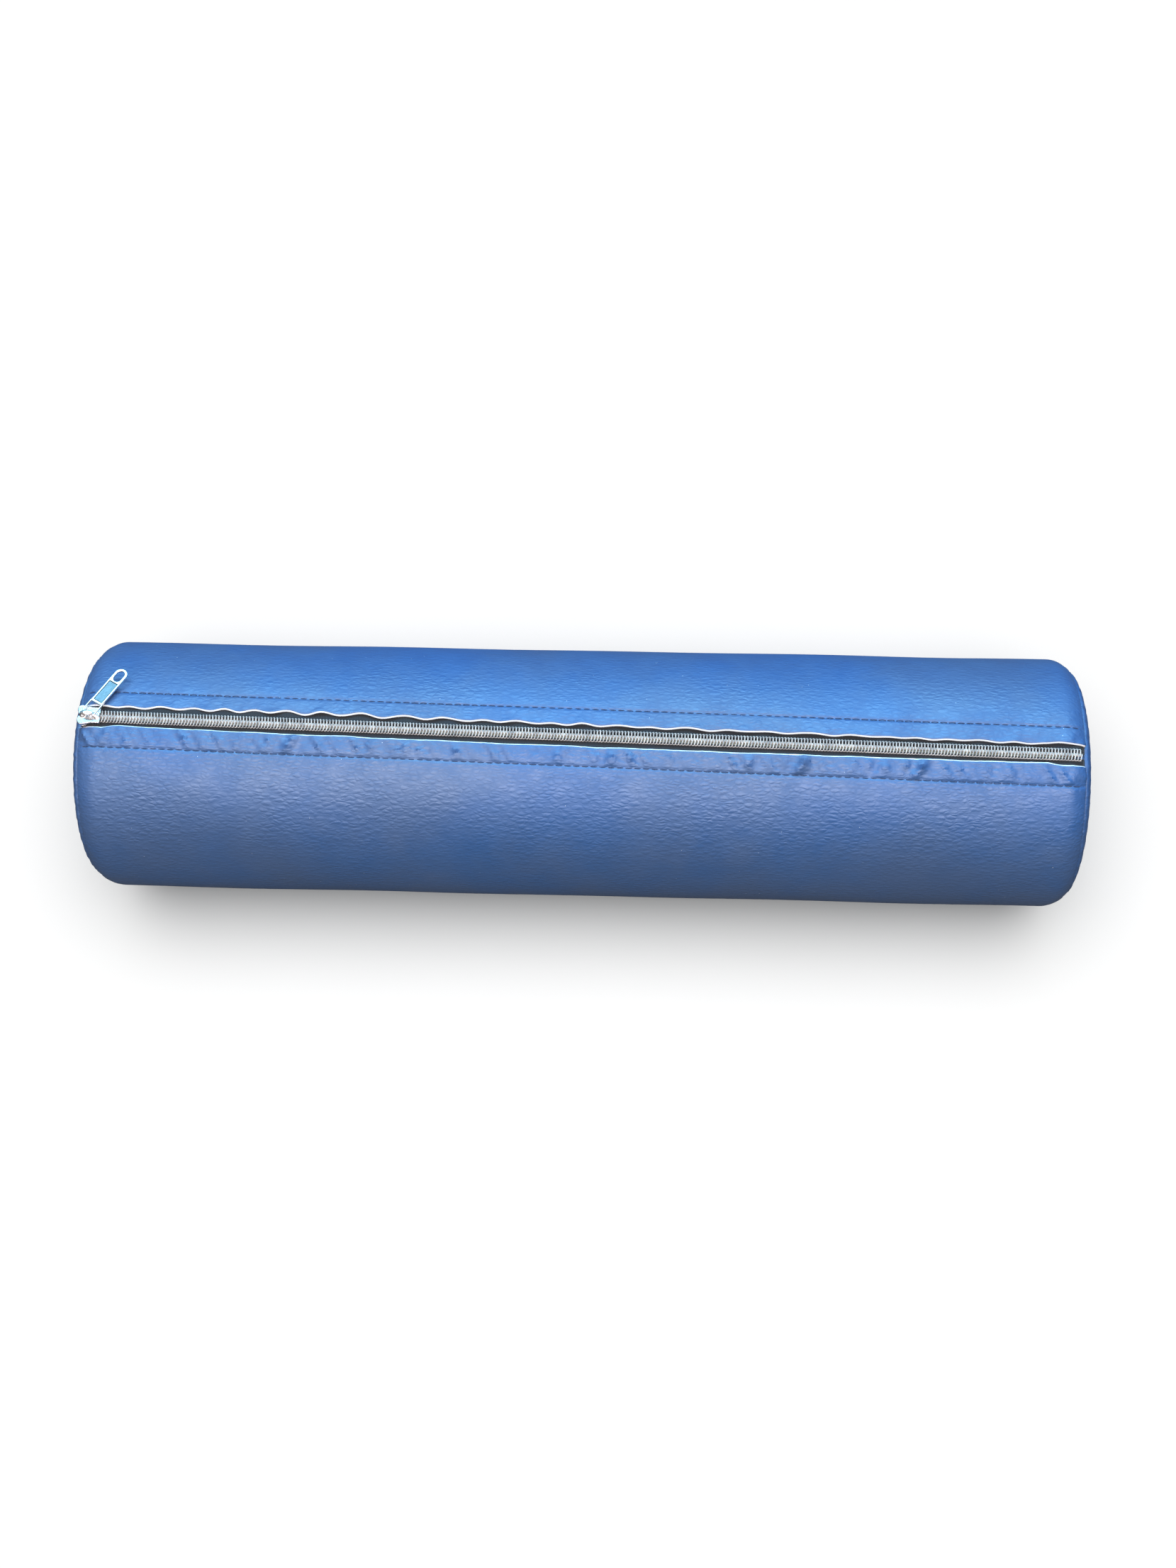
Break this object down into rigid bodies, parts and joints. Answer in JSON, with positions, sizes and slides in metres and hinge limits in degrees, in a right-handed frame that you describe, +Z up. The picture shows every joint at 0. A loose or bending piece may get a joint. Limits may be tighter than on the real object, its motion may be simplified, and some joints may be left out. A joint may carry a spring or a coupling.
{
  "type": "bolster pillow",
  "caption": "Full-round bolster pillow: a foam cylinder in a leatherette cover with domed sewn ends and a full-length zip.",
  "frame": {"origin": "under the middle of the bolster, on the surface it rests on", "axes": "+X along the bolster, away from the end where the slider is parked; +Y to the rear; +Z up, with the zip on top"},
  "size_m": [0.6, 0.15, 0.1542],
  "materials": {
    "leatherette": "satin",
    "foam": "matte",
    "thread": "matte",
    "zip_tape": "matte",
    "coil_teeth": "gloss",
    "zinc": "polished"
  },
  "bodies": {
    "bolster": {"foam_core": "foam", "tube_panel": "leatherette", "left_end_panel": "leatherette", "right_end_panel": "leatherette", "left_end_seam": "thread", "right_end_seam": "thread", "rear_tape": "zip_tape", "front_tape": "zip_tape", "rear_zip_stitching": "thread", "front_zip_stitching": "thread", "rear_coil": "coil_teeth", "front_coil": "coil_teeth", "rear_coil_cord": "zip_tape", "front_coil_cord": "zip_tape", "rear_coil_thread": "zip_tape", "front_coil_thread": "zip_tape"},
    "slider": {"slider_body": "zinc"},
    "pull": {"pull_tab": "zinc"}
  },
  "joints": [
    {"name": "zip_slide", "type": "slide", "parent": "bolster", "child": "slider", "axis": [0.9998, -0.02, 0], "range_m": [0, 0.568], "deforming": ["rear_coil", "front_coil", "rear_coil_cord", "front_coil_cord", "rear_coil_thread", "front_coil_thread"]},
    {"name": "pull_lift", "type": "hinge", "parent": "slider", "child": "pull", "pos_m": [-0.28394, 0.00567, 0.15253], "axis": [0.865, -0.4916, 0.1008], "range_deg": [0, 180]}
  ]
}
